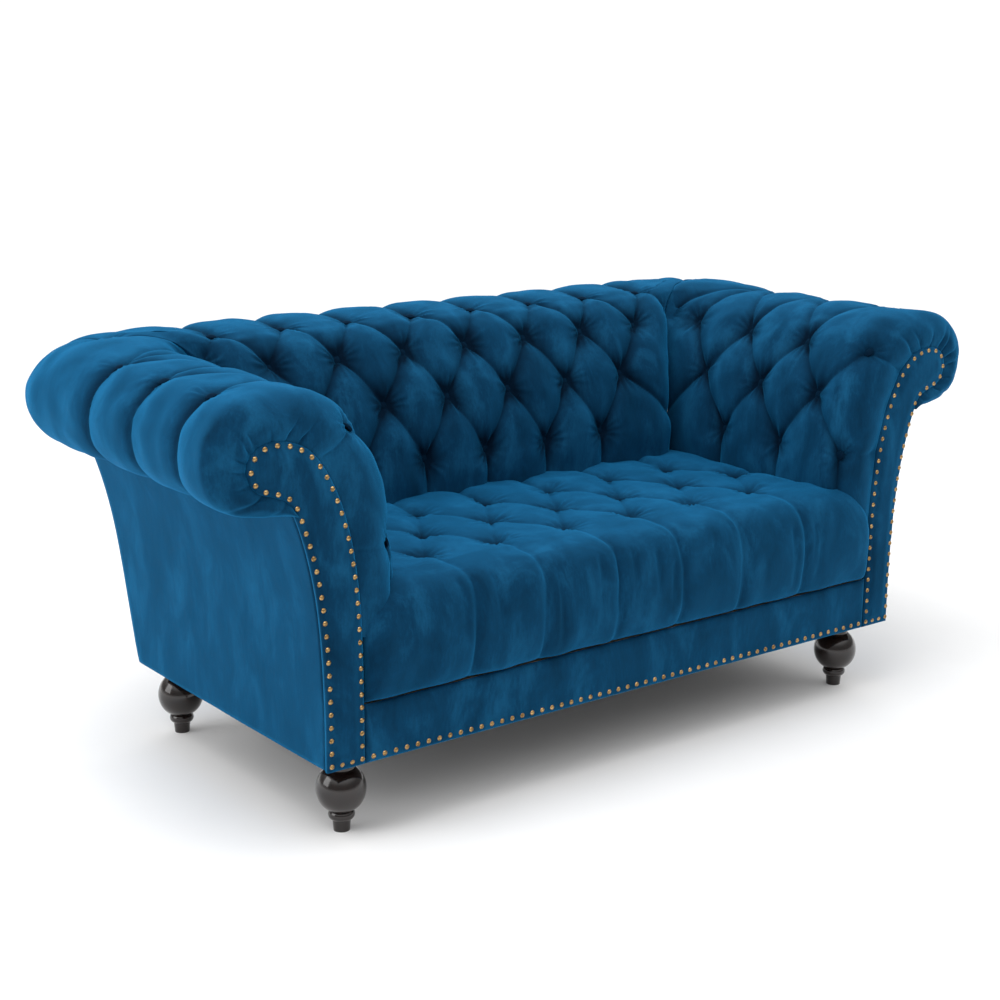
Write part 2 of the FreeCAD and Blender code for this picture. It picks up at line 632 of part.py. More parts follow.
# ---- legs -------------------------------------------------------------------
def turned_leg(x, y):
    """A bun leg: tapered foot, ring, ball and collar, turned from one piece."""
    foot_r, ankle_r, ring_r = 13.0, 14.5, 21.0
    ball_r, ball_z, ball_rise = 39.5, 70.0, 36.0
    neck_r, collar_r = 22.0, 29.0
    profile = [V(0, 0, 0), V(foot_r, 0, 0), V(ankle_r, 0, 18)]
    edges = [Part.makeLine(profile[0], profile[1]), Part.makeLine(profile[1], profile[2])]
    edges.append(Part.Arc(V(ankle_r, 0, 18), V(ring_r, 0, 26), V(ankle_r + 3, 0, 34)).toShape())
    neck_z = 104.0
    ball = Part.BSplineCurve()
    rise = [(ankle_r + 3, 34), (ball_r * 0.82, 46), (ball_r, ball_z),
            (ball_r * 0.84, ball_z + ball_rise * 0.62), (neck_r, neck_z)]
    ball.interpolate([V(a, 0, b) for a, b in rise])
    edges.append(ball.toShape())
    edges.append(Part.makeLine(V(neck_r, 0, neck_z), V(neck_r, 0, 108)))
    edges.append(Part.Arc(V(neck_r, 0, 108), V(collar_r - 1, 0, 114), V(collar_r, 0, 122)).toShape())
    edges.append(Part.makeLine(V(collar_r, 0, 122), V(collar_r, 0, LEG_TOP - 0.1)))
    edges.append(Part.makeLine(V(collar_r, 0, LEG_TOP - 0.1), V(0, 0, LEG_TOP - 0.1)))
    edges.append(Part.makeLine(V(0, 0, LEG_TOP - 0.1), V(0, 0, 0)))
    face = Part.Face(Part.Wire(edges))
    leg = face.revolve(V(0, 0, 0), V(0, 0, 1), 360)
    leg.translate(V(x, y, 0))
    return leg


for end, (x, y) in (("front", LEG_FRONT), ("rear", LEG_REAR)):
    save_pair("leg_" + end, turned_leg(x, y).cut(bolt_holes))
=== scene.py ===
import bpy
import bmesh
import json
import math
import numpy as np
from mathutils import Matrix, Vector
from mathutils.geometry import delaunay_2d_cdt


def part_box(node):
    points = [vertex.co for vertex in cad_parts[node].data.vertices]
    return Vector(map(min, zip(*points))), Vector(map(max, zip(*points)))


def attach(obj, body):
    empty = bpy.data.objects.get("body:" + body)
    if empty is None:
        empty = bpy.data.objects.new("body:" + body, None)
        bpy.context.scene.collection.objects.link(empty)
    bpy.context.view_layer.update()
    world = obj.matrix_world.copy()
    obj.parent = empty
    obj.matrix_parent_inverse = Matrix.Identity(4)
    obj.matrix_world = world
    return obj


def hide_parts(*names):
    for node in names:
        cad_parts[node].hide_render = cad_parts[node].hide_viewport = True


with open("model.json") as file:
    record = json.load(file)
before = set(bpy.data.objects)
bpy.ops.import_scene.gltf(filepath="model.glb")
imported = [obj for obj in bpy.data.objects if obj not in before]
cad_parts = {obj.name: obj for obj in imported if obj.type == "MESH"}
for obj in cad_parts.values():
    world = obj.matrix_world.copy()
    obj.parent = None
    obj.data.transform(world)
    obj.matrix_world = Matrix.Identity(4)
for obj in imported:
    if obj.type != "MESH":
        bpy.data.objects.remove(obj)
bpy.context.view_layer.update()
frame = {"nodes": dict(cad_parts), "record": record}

# Lengths below are in millimetres, as (x, depth, height): x across the seat, depth
# back from the front face of the arms, height above the floor.
MM = 0.001
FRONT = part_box("arm_facing_right")[0][1]


def to_frame(points):
    """Millimetre points (x, depth, height) as metres in the frame."""
    placed = np.asarray(points, float) * MM
    placed[..., 1] += FRONT
    return placed


# ---- curves and grids ---------------------------------------------------------
def through(keys, at):
    """A smooth curve through evenly numbered key points, read at key numbers."""
    keys = np.asarray(keys, float)
    at = np.clip(np.asarray(at, float), 0, len(keys) - 1)
    slope = np.empty_like(keys)
    slope[1:-1] = (keys[2:] - keys[:-2]) / 2
    slope[0] = keys[1] - keys[0]
    slope[-1] = keys[-1] - keys[-2]
    i = np.minimum(at.astype(int), len(keys) - 2)
    t = (at - i)[..., None]
    a, b, da, db = keys[i], keys[i + 1], slope[i], slope[i + 1]
    return ((2 * t**3 - 3 * t**2 + 1) * a + (t**3 - 2 * t**2 + t) * da
            + (-2 * t**3 + 3 * t**2) * b + (t**3 - t**2) * db)


def run_length(points):
    """Distance along a line of points, starting at 0."""
    steps = np.linalg.norm(np.diff(points, axis=0), axis=1)
    return np.concatenate([[0.0], np.cumsum(steps)])


def smoothstep(x, low, high):
    t = np.clip((x - low) / (high - low), 0, 1)
    return t * t * (3 - 2 * t)


def bulge(x):
    """Rises steeply from 0 and levels out at 1, as a stuffed edge does."""
    x = np.clip(x, 0, 1)
    return np.sqrt(1 - (1 - x) ** 2)


def unit(vectors):
    return vectors / np.maximum(np.linalg.norm(vectors, axis=-1, keepdims=True), 1e-9)


def whole_cells(length, spacing):
    """A number of grid points whose cells divide into whole BACKING cells."""
    return BACKING * max(1, round(length / spacing / BACKING)) + 1


def link(piece):
    bpy.context.scene.collection.objects.link(piece)
    return piece


def mesh_piece(name, points, faces, hollow=None):
    """A smooth-shaded piece from millimetre points, its normals facing out."""
    mesh = bpy.data.meshes.new(name)
    mesh.from_pydata(to_frame(points).tolist(), [], faces)
    if hollow is not None:
        # how hollow each point is, which the velvet reads to paint shade into dips and folds
        mark = mesh.attributes.new("hollow", "FLOAT", "POINT")
        mark.data.foreach_set("value", np.asarray(hollow, np.float32))
    bm = bmesh.new()
    bm.from_mesh(mesh)
    bmesh.ops.recalc_face_normals(bm, faces=bm.faces)
    bm.to_mesh(mesh)
    bm.free()
    mesh.polygons.foreach_set("use_smooth", np.ones(len(mesh.polygons), bool))
    mesh.update()
    return link(bpy.data.objects.new(name, mesh))


BACKING = 6                 # a pad's hidden side has one cell for so many on its face


def closed_pad(name, p, outward, depth, hollow=None):
    """A closed piece: the grid p as its face, and a coarse hidden side depth behind it.
    depth is one number, or one for each point of the grid."""
    rows, cols = p.shape[:2]
    face = np.arange(rows * cols).reshape(rows, cols)
    coarse = (slice(None, None, BACKING), slice(None, None, BACKING))
    here = outward[coarse]
    around = unit(np.stack([softened(here[..., k]) for k in range(3)], -1))
    level_with = np.clip((here * around).sum(-1, keepdims=True) * 2 - 1, 0, 1)
    thick = np.broadcast_to(depth, (rows, cols, 1))[coarse]
    behind = p[coarse] - around * thick * level_with
    back = np.arange(behind.shape[0] * behind.shape[1]).reshape(behind.shape[:2]) + rows * cols
    faces = []
    for index in (face, back):
        quads = np.stack([index[:-1, :-1], index[1:, :-1], index[1:, 1:], index[:-1, 1:]], -1)
        faces += quads.reshape(-1, 4).tolist()
    for fine, rear in ((face[0], back[0]), (face[-1], back[-1]),
                         (face[:, 0], back[:, 0]), (face[:, -1], back[:, -1])):
        for i in range(len(rear) - 1):
            for m in range(BACKING):
                hub = rear[i] if m < BACKING // 2 else rear[i + 1]
                faces.append([int(fine[i * BACKING + m]), int(fine[i * BACKING + m + 1]), int(hub)])
            middle = int(fine[i * BACKING + BACKING // 2])
            faces.append([middle, int(rear[i + 1]), int(rear[i])])
    points = np.concatenate([p.reshape(-1, 3), behind.reshape(-1, 3)])
    if hollow is not None:
        hollow = np.concatenate([hollow.ravel(), np.zeros(back.size)])
    return mesh_piece(name, points, faces, hollow)


def mirror_copy(piece, name):
    """The left-hand twin of a right-hand piece."""
    mesh = piece.data.copy()
    mesh.name = name
    co = np.empty(len(mesh.vertices) * 3)
    mesh.vertices.foreach_get("co", co)
    co[0::3] *= -1
    mesh.vertices.foreach_set("co", co)
    mesh.flip_normals()
    mesh.update()
    return link(bpy.data.objects.new(name, mesh))


# ---- tufting ------------------------------------------------------------------
CREASE = 4.0                # extra depth of the tucked pleat along a fold
CREASE_REACH = 5.5
FOLD_HOLLOW = 1.9           # how much a fold's sides curve in, where 1 is straight
TUCK_SLIDE = 7.0            # how far velvet slides over a leaning fold
TUCK_REACH = 8.0
CALM_REACH = 24             # sliding fades out over about this distance from a button
SPOKES = (10, 16)           # fewest wrinkles round a button, and one more than the most
PHASES = 6.28               # range of the random phases, about one turn
PUCKER = 2.8                # height of the wrinkles, their distance and their spread
PUCKER_AT, PUCKER_SPREAD = 22, 17
PIT_POINT = 1.15            # how pointed a button's pit is, where 2 is round
WAVES = 16                  # slow waves that keep the puffs from looking alike
WAVE_LENGTHS = (38, 120)
WAVE_SHARE = 0.0035         # a wave's height for its length


class Tufting:
    """Buttons and folds on a pad, in the pad's own flat measure (u up, v along)."""

    def __init__(self, seed):
        self.buttons = []
        self.folds = []
        self.random = np.random.default_rng(seed)

    def button(self, u, v, depth, reach, ripple=1.0):
        spokes = self.random.integers(*SPOKES)
        phase = self.random.uniform(0, PHASES, 4)
        self.buttons.append((u, v, depth, reach, ripple, spokes, phase))

    def fold(self, start, end, depth, reach, lean=0.0, ease=0.0, sag=0.0, crease=1.0):
        """A fold from start to end. lean makes one side steeper, ease lets it run out
        towards its end, and sag makes it shallow halfway."""
        self.folds.append((start, end, depth, reach, lean, ease, sag, crease))

    def relief(self, u, v):
        """Height over the pad's full outline, and how far points slide along u and v."""
        broad = np.zeros_like(u)
        narrow = np.zeros_like(u)
        slide_u = np.zeros_like(u)
        slide_v = np.zeros_like(u)
        for (u0, v0), (u1, v1), depth, reach, lean, ease, sag, crease in self.folds:
            along = np.array([u1 - u0, v1 - v0])
            length = np.hypot(*along)
            along = along / length
            t = np.clip(((u - u0) * along[0] + (v - v0) * along[1]) / length, 0, 1)
            off_u = u - (u0 + along[0] * length * t)
            off_v = v - (v0 + along[1] * length * t)
            off = np.hypot(off_u, off_v)
            side = np.sign(off_u * along[1] - off_v * along[0])
            fade = (1 - ease * t) * (1 - sag * np.sin(math.pi * t))
            x = np.clip(off / (reach * (1 + lean * side)), 0, 1)
            broad = np.minimum(broad, -depth * fade * (1 - x) ** FOLD_HOLLOW)
            narrow = np.minimum(narrow, -CREASE * crease * fade * np.exp(-off / CREASE_REACH))
            tuck = TUCK_SLIDE * lean * crease * fade * np.exp(-off / TUCK_REACH)
            slide_u += tuck * along[1]
            slide_v -= tuck * along[0]
        height = broad + narrow
        calm = np.ones_like(u)
        for u0, v0, depth, reach, ripple, spokes, phase in self.buttons:
            off_u, off_v = u - u0, v - v0
            off = np.hypot(off_u, off_v)
            angle = np.arctan2(off_u, off_v)
            calm *= 1 - np.exp(-((off / CALM_REACH) ** 2))
            uneven = 0.3 * np.cos(2 * angle + phase[0])
            weight = 0.55 + uneven + 0.15 * np.cos(3 * angle + phase[1])
            bent = 0.5 * np.sin(3 * angle + phase[3])
            ray = 1 - 2 * np.abs(np.sin(spokes * angle / 2 + phase[2] + bent)) ** 0.7
            ring = np.exp(-(((off - PUCKER_AT) / PUCKER_SPREAD) ** 2))
            pucker = PUCKER * ripple * weight * ray * ring
            height = height - depth * np.exp(-((off / reach) ** PIT_POINT)) + pucker
        for _ in range(WAVES):
            wavelength = self.random.uniform(*WAVE_LENGTHS)
            turn, phase = self.random.uniform(0, 2 * math.pi, 2)
            wave = (u * math.cos(turn) + v * math.sin(turn)) * 2 * math.pi / wavelength
            height = height + wavelength * WAVE_SHARE * np.sin(wave + phase)
        return height, slide_u * calm, slide_v * calm

    def snap(self, node, p, u, v, expected, near=34.0):
        """Place and depth on the pad of the button of a CAD node that is near a point."""
        gap = np.linalg.norm(button_verts(node) - expected, axis=1)
        centre = button_verts(node)[gap < near].mean(0)
        away = np.linalg.norm(p - centre, axis=2)
        i = np.unravel_index(np.argmin(away), away.shape)
        return float(u[i]), float(v[i]), float(away[i])


HOLLOW_FULL = 20.0          # a dip this deep counts as fully hollow
VERTS = {}


def button_verts(node):
    """Millimetre vertices (x, depth, height) of a CAD node."""
    if node not in VERTS:
        mesh = frame["nodes"][node].data
        co = np.empty(len(mesh.vertices) * 3)
        mesh.vertices.foreach_get("co", co)
        co = co.reshape(-1, 3)
        co[:, 1] -= FRONT
        VERTS[node] = co / MM
    return VERTS[node]


def softened(grid):
    """The grid averaged with its neighbours twice, so that slides stay even across creases."""
    for _ in range(2):
        for axis in (0, 1):
            ahead = np.roll(grid, -1, axis)
            behind = np.roll(grid, 1, axis)
            mean = (ahead + behind + 2 * grid) / 4
            inner = (slice(1, -1), slice(None)) if axis == 0 else (slice(None), slice(1, -1))
            grid = grid.copy()
            grid[inner] = mean[inner]
    return grid


def raised(p, outward, tufting, u, v, keep):
    """The tufted surface over a base grid, and how hollow each point is, 0 to 1."""
    height, slide_u, slide_v = tufting.relief(u, v)
    slide_u, slide_v = softened(slide_u), softened(slide_v)
    along_u = unit(np.gradient(p, axis=0))
    along_v = unit(np.gradient(p, axis=1))
    height = height * keep
    out = p + outward * height[..., None]
    out += along_u * (slide_u * keep)[..., None] + along_v * (slide_v * keep)[..., None]
    return out, np.clip(-height / HOLLOW_FULL, 0, 1)


def outward_normals(p, towards):
    """Unit normals of a grid, on the side that towards (x, depth, height) is on."""
    n = unit(np.cross(np.gradient(p, axis=0), np.gradient(p, axis=1)))
    middle = n.shape[0] // 4, n.shape[1] // 2
    return n if np.dot(n[middle], towards) > 0 else -n


# ---- arms and back ------------------------------------------------------------
# Matching key points from behind the seat, up the inside, over the roll and down to
# its underside: keys 2, 3, 4 and 7 are the four rows of buttons.
ARM_KEYS = [(479, 330), (474, 400), (475, 465), (493, 567), (544, 660), (594, 696),
            (655, 710), (728, 704), (760, 686), (784, 654), (792, 612), (781, 569),
            (744, 542), (666, 531)]
BACK_KEYS = [(428, 330), (422, 400), (419, 466), (443, 573), (489, 663), (525, 697),
             (552, 706), (580, 711), (640, 714), (704, 702), (755, 662), (771, 606),
             (755, 557), (712, 534)]
# The line of nails round an arm's front, and the keys' places along it.
NAIL_LINE = [(560, 130), (560, 225), (561, 320), (566, 405), (578, 485), (602, 560),
             (640, 618), (688, 639), (725, 630), (736, 606), (724, 581), (699, 571),
             (673, 558), (655, 522), (637, 462), (624, 392), (617, 315), (614, 225),
             (614, 130)]
NAIL_KEYS = [2.12, 2.95, 3.72, 4.93, 5.85, 6.4, 6.9, 7.5, 7.95, 8.45, 9.0, 9.8, 10.9, 12.7]
ROW_KEYS = {4: 2, 3: 3, 2: 4, 1: 7}
LAST_KEY = len(ARM_KEYS) - 1
ARM_PITCH, ARM_FIRST = 147.0, 28.0
CREST_FIRST = 129.5         # arm fronts to the first button on top of an arm
BACK_PITCH = 137.0
GRID = 3.8                  # spacing of the pads' grids
FOLD_DROP = 10.0
FOLD_REACH = 50.0
BUTTON_REACH = 30.0


def offset_line(points, distance):
    """A line moved sideways, to its left where distance is positive."""
    along = unit(np.gradient(points, axis=0))
    return points + np.stack([-along[:, 1], along[:, 0]], -1) * distance


def key_steps(keys, spacing):
    """Key numbers evenly spaced along a pad outline."""
    fine = np.linspace(0, LAST_KEY, 2000)
    run = run_length(through(keys, fine))
    count = whole_cells(run[-1], spacing)
    return np.interp(np.linspace(0, run[-1], count), run, fine)


KEY_STEPS = key_steps(ARM_KEYS, GRID)
ARM_LINE = through(ARM_KEYS, KEY_STEPS)
BACK_LINE = through(BACK_KEYS, KEY_STEPS)
ARM_RUN = run_length(ARM_LINE)
BACK_RUN = run_length(BACK_LINE)
FINE_NAILS = np.linspace(0, len(NAIL_LINE) - 1, 1200)
ARM_EDGE = offset_line(through(NAIL_LINE, FINE_NAILS), 1.5)
ARM_EDGE = np.stack([np.interp(np.interp(KEY_STEPS, range(LAST_KEY + 1), NAIL_KEYS),
                               FINE_NAILS, ARM_EDGE[:, k]) for k in (0, 1)], -1)


def by_key(*pairs):
    """A value for each step of the outline, from (key, value) pairs."""
    return np.interp(KEY_STEPS, [k for k, _ in pairs], [value for _, value in pairs])


def level(run, key):
    return float(np.interp(key, KEY_STEPS, run))


# Where the arm and back pads meet, for each step of the outline: how round the corner
# is in plan, and how far its seam lies from the straight line of each pad.
CORNER_ROUND = by_key((0, 1), (4, 1), (6, 60), (8, 130), (9, 165), (13, 165))
SEAM_X = by_key((0, 6), (2, 6), (3, 2), (4, -12), (5, -20), (6, -34), (7, -50), (8, -40),
                (9, -18), (10, 0), (13, 4))
SEAM_Y = by_key((0, 68), (2, 68), (3, 69), (4, 56), (5, 42), (6, 48), (7, 62), (8, 55),
                (9, 36), (10, 14), (11, 4), (13, 4))
SEAM_REACH = by_key((0, 58), (4, 70), (6, 130), (13, 150))
SEAM_SOFT = by_key((0, 0), (4, 0.2), (6, 1), (13, 1))
SEAM_DROP = by_key((0, 0), (5, 0), (6, 8), (7, 12), (8, 8), (9.5, 0), (13, 0))
SEAM_TUCK = by_key((0, 0), (7.5, 0), (9, 9), (11, 9), (13, 3))
CORNER_LIFT = by_key((0, 0), (4, 0), (6, 9), (8, 9), (10, 0), (13, 0))


SEAM_WIDTH = 44.0           # half the width of the valley along the seam


def settle(left):
    """Share of the seam's offset that a pad has taken up, where left is still to go."""
    x = left / SEAM_REACH[:, None]
    soft = SEAM_SOFT[:, None]
    return (1 - soft) * (1 - bulge(x)) + soft * smoothstep(1 - x, 0, 1)


def pad_surface(line, other, seam_side, seam_far, start, columns):
    """Grid of a pad from start to the corner seam as (side, along, height), and its v."""
    far = other[:, 0] + seam_far - CORNER_ROUND
    radius = CORNER_ROUND[:, None]
    straight = (far - start)[:, None]
    v = (straight + radius * math.pi / 4) * np.linspace(0, 1, columns)[None, :]
    turn = np.maximum(v - straight, 0) / radius
    left = v[:, -1:] - v
    side = line[:, :1] + seam_side[:, None] * settle(left) - radius * (1 - np.cos(turn))
    along = start[:, None] + np.minimum(v, straight) + radius * np.sin(turn)
    blend = smoothstep(-left, -170, 0)
    valley = 1 - bulge(left / SEAM_WIDTH)
    z = line[:, 1:] + (other[:, 1:] - line[:, 1:]) * 0.5 * blend
    z = z + CORNER_LIFT[:, None] * blend - SEAM_DROP[:, None] * valley
    inward = SEAM_TUCK[:, None] * valley
    return side - inward, along - inward, z, start[:, None] + v


# The rounded front edge of an arm's pad, by key: how deep it is, and how full.
WRAP = by_key((0, 52), (3, 64), (5, 74), (6, 74), (7, 58), (8.5, 38), (10, 30), (13, 28))
FULLNESS = by_key((0, 2.6), (4, 2.8), (6, 2.6), (8, 3.1), (13, 3.1))
FLARE = by_key((0, 0), (6, 0), (8, 12), (11, 12), (13, 0))   # the roll is fuller at its front
WRAP_CELLS = 30
FRONT_LIP = 5.0             # how far the turned edge stands before the arm fronts
TUCK = 7.0                  # depth at which it goes behind the facing


def front_wrap():
    """The pad's rounded front edge, from behind the facing's edge to depth WRAP."""
    edge = ARM_EDGE[:, None, :]
    pad = ARM_LINE[:, None, :]
    turn = np.linspace(0, 1, WRAP_CELLS + 1)[None, :] ** 1.15 * math.pi / 2
    power = 2 / FULLNESS[:, None]
    section = edge + (pad - edge) * (np.sin(turn) ** power)[..., None]
    y = WRAP[:, None] * (1 - np.maximum(np.cos(turn), 0) ** power)
    y = y - FRONT_LIP * np.exp(-(((turn - 0.4) / 0.35) ** 2)) + TUCK * np.exp(-turn / 0.1)
    p = np.stack([section[..., 0], y, section[..., 1]], -1)
    steps = np.linalg.norm(np.diff(p, axis=1), axis=2)
    run = np.concatenate([np.zeros((len(p), 1)), np.cumsum(steps, axis=1)], axis=1)
    return p, WRAP[:, None] - (run[:, -1:] - run)


BELOW_SEAT = -40.0          # where the lowest pleats run to, out of sight
CREST_SHARE = 0.8           # pits on the roll are this much of the others


def seam_keep(left):
    """1 over a pad, falling to 0 at the corner seam, where two pads have to meet."""
    return bulge(left / 36.0)


def diamonds(tufting, rows, pitch):
    """Folds between the buttons of neighbouring rows. rows holds snapped (u, v, depth)."""
    for low, high in ((4, 3), (3, 2), (2, 1)):
        for a in rows[low]:
            for b in rows[high]:
                if abs(a[1] - b[1]) < pitch * 0.75:
                    lean = 0.22 if b[1] > a[1] else -0.22
                    tufting.fold(a[:2], b[:2], FOLD_DROP, FOLD_REACH, lean, sag=0.3)
    for row, places in rows.items():
        for u, v, depth in places:
            crest = row == 1
            pull = max(depth + 2.0 - FOLD_DROP - CREASE, 3.0)
            share = CREST_SHARE if crest else 1.0
            tufting.button(u, v, pull, BUTTON_REACH * share, share)


def straight_pleats(tufting, rows, run):
    """Pleats from the lowest row to the seat, and from the crest over the roll."""
    for u, v, _ in rows[4]:
        tufting.fold((u, v), (BELOW_SEAT, v), 8.0, 36.0, 0.15, 0.25)
    for u, v, _ in rows[1]:
        tufting.fold((u, v), (run[-1] + 10, v), 12.0, 52.0, 0.2, 0.35)


def arm_pad(seed):
    """Millimetre grid of the right arm's tufted pad, its outward normals and hollows."""
    wrap, wrap_v = front_wrap()
    cells = whole_cells(float(np.median(BACK_LINE[:, 0])), GRID) - WRAP_CELLS % BACKING
    x, y, z, body_v = pad_surface(ARM_LINE, BACK_LINE, SEAM_X, SEAM_Y, WRAP, cells)
    body = np.stack([x, y, z], -1)
    p = np.concatenate([wrap[:, :-1], body], axis=1)
    v = np.concatenate([wrap_v[:, :-1], body_v], axis=1)
    u = np.repeat(ARM_RUN[:, None], p.shape[1], axis=1)
    flare = FLARE[:, None] * np.exp(-(((p[..., 1] - 45) / 75) ** 2)) * smoothstep(p[..., 1], -6, 25)
    p[..., 0] += flare
    outward = outward_normals(p, (-1, 0, 0))
    tufting = Tufting(seed)
    counts = {4: 3, 3: 3, 2: 4, 1: 3}
    first = {4: ARM_FIRST, 3: ARM_FIRST + ARM_PITCH / 2, 2: ARM_FIRST, 1: CREST_FIRST}
    rows = {}
    for row, count in counts.items():
        spot = through(ARM_KEYS, ROW_KEYS[row])
        rows[row] = [tufting.snap("arm_buttons_right", p, u, v,
                                  (spot[0], first[row] + i * ARM_PITCH, spot[1]))
                     for i in range(count)]
    diamonds(tufting, rows, ARM_PITCH)
    straight_pleats(tufting, rows, ARM_RUN)
    seam = {key: float(np.interp(level(ARM_RUN, key), ARM_RUN, v[:, -1])) for key in range(14)}
    corner = (level(ARM_RUN, 4), seam[4])
    tufting.fold(rows[3][-1][:2], (level(ARM_RUN, 2), seam[2]), 8.0, 46.0, 0.2)
    tufting.fold(rows[1][-1][:2], corner, 9.0, 48.0, 0.2, 0.0, 0.3)
    tufting.button(*corner, 12.0, 26.0)
    tufting.button(level(ARM_RUN, 7), seam[7], 12.0, 30.0)
    edge = v[:, 0]
    for row, lift in ((4, 3.0), (2, -10.0)):
        u0, v0, _ = rows[row][0]
        tufting.fold((u0, v0), (u0 + lift, float(np.interp(u0, ARM_RUN, edge))), 4.0, 26.0, 0.1,
                     crease=0.5)
    random = tufting.random
    for key in np.linspace(4.9, 12.6, 10):
        foot = level(ARM_RUN, key) + random.uniform(-6, 6)
        start = float(np.interp(foot, ARM_RUN, edge))
        tufting.fold((foot, start), (foot + random.uniform(-10, 10), start + random.uniform(30, 75)),
                     random.uniform(3.5, 6.5), random.uniform(14, 24), 0.3, 0.85, 0.0, 1.0)
    left = v[:, -1:] - v
    near_edge = np.clip((v - v[:, :1]) / 16.0, 0, 1)
    surface, hollow = raised(p, outward, tufting, u, v, seam_keep(left) * near_edge)
    return surface, outward, hollow


def back_pad(seed):
    """Millimetre grid of the whole back pad, left seam to right seam, as arm_pad."""
    start = np.zeros(len(KEY_STEPS))
    cells = whole_cells(600.0, GRID)
    y, x, z, half_v = pad_surface(BACK_LINE, ARM_LINE, SEAM_Y, SEAM_X, start, cells)
    half = np.stack([x, y, z], -1)
    p = np.concatenate([(half * [-1, 1, 1])[:, :0:-1], half], axis=1)
    v = np.concatenate([-half_v[:, :0:-1], half_v], axis=1)
    u = np.repeat(BACK_RUN[:, None], p.shape[1], axis=1)
    outward = outward_normals(p, (0, -1, 0))
    tufting = Tufting(seed)
    rows = {}
    for row, places in {4: [0, 1, 2], 3: [0.5, 1.5, 2.5], 2: [0, 1, 2, 3],
                        1: [0.5, 1.5, 2.5, 3.5]}.items():
        spot = through(BACK_KEYS, ROW_KEYS[row])
        both = sorted({side * i * BACK_PITCH for i in places for side in (1, -1)})
        rows[row] = [tufting.snap("back_buttons", p, u, v, (x, spot[0], spot[1])) for x in both]
    diamonds(tufting, rows, BACK_PITCH)
    straight_pleats(tufting, rows, BACK_RUN)
    seam = {key: float(np.interp(level(BACK_RUN, key), BACK_RUN, half_v[:, -1]))
            for key in range(14)}
    for side in (1, -1):
        last = -1 if side > 0 else 0
        corner = (level(BACK_RUN, 4), side * seam[4])
        tufting.fold(rows[3][last][:2], (level(BACK_RUN, 2), side * seam[2]), 8.0, 46.0, 0.2)
        tufting.fold(rows[1][last][:2], corner, 9.0, 48.0, 0.2, 0.0, 0.3)
        tufting.button(*corner, 12.0, 26.0)
        tufting.button(level(BACK_RUN, 7), side * seam[7], 12.0, 30.0)
    left = np.minimum(v[:, -1:] - v, v - v[:, :1])
    surface, hollow = raised(p, outward, tufting, u, v, seam_keep(left))
    return surface, outward, hollow


# ---- seat ---------------------------------------------------------------------
SEAT_FRONT = [(6, 226), (-8, 234), (-17, 262), (-20, 302), (-17, 345), (-4, 379),
              (24, 398), (68, 404)]
SEAT_FLAT_TO = 470.0
SEAT_EDGE = 34.0            # width over which the seat's sides round off
NOSE_TOP = 72.0             # depth at which the nose ends and the flat top starts
SEAT_PITCH = 144.0
SEAT_ROWS = {"front": 120.0, "middle": 231.0, "rear": 344.0}
SEAT_HALF = 553.0
SEAT_TOP, SEAT_SEAM, SEAT_SIDE = 404.0, 226.0, 332.0


